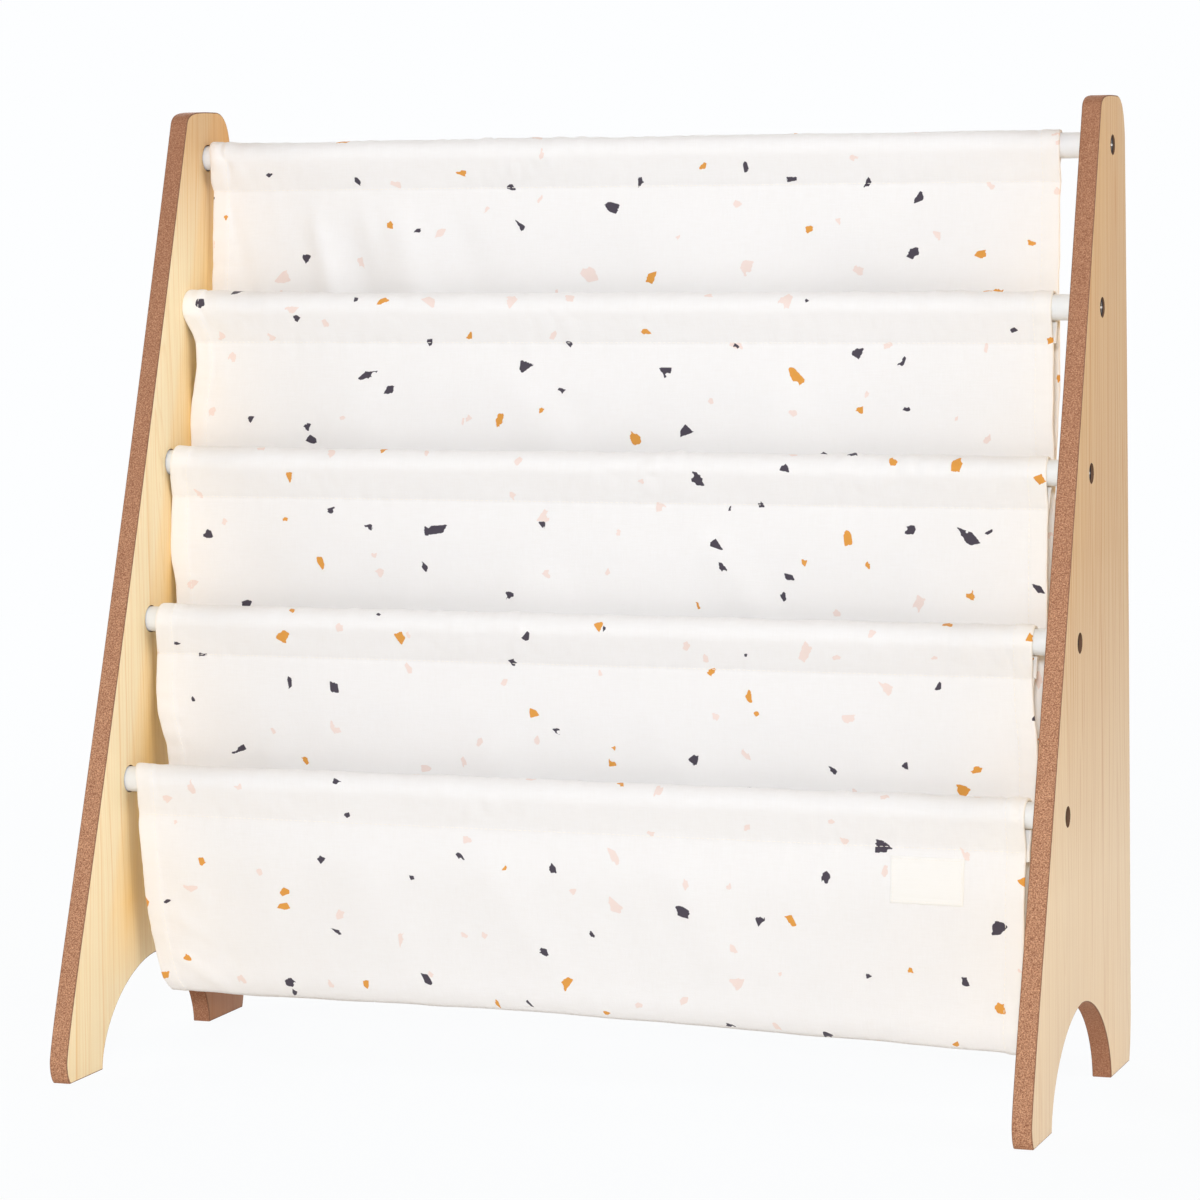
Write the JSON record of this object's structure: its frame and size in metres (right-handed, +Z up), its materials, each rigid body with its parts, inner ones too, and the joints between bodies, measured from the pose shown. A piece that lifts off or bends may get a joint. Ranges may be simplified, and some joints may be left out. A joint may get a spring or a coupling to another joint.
{
  "type": "sling bookshelf",
  "caption": "Low children's sling bookshelf: tapered side panels with arched feet, joined by round rods that carry a sewn cloth sling of front-facing book pockets.",
  "frame": {"origin": "on the floor, midway between the side panels and midway from front to back", "axes": "+X to the right seen from the front, +Y to the back, +Z up"},
  "size_m": [0.62, 0.262, 0.602],
  "materials": {
    "board": "pale maple-grain faces with a raw brown fibreboard edge, satin",
    "rod_paint": "smooth white paint, satin",
    "screw_metal": "dark bronzed steel, satin",
    "sling_cloth": "plain-weave off-white cloth, scattered with small charcoal, mustard and blush chips, matt",
    "patch_cloth": "cream woven patch, matt"
  },
  "bodies": {
    "root": {"side_panel_left": "board", "side_panel_right": "board", "rod_1": "rod_paint", "rod_2": "rod_paint", "rod_3": "rod_paint", "rod_4": "rod_paint", "rod_5": "rod_paint", "screw_left_1": "screw_metal", "screw_left_2": "screw_metal", "screw_left_3": "screw_metal", "screw_left_4": "screw_metal", "screw_left_5": "screw_metal", "screw_right_1": "screw_metal", "screw_right_2": "screw_metal", "screw_right_3": "screw_metal", "screw_right_4": "screw_metal", "screw_right_5": "screw_metal", "sleeve_1": "sling_cloth", "sleeve_2": "sling_cloth", "sleeve_3": "sling_cloth", "sleeve_4": "sling_cloth", "sleeve_5": "sling_cloth", "pocket_1": "sling_cloth", "pocket_2": "sling_cloth", "pocket_3": "sling_cloth", "pocket_4": "sling_cloth", "label_patch": "patch_cloth"}
  },
  "joints": []
}
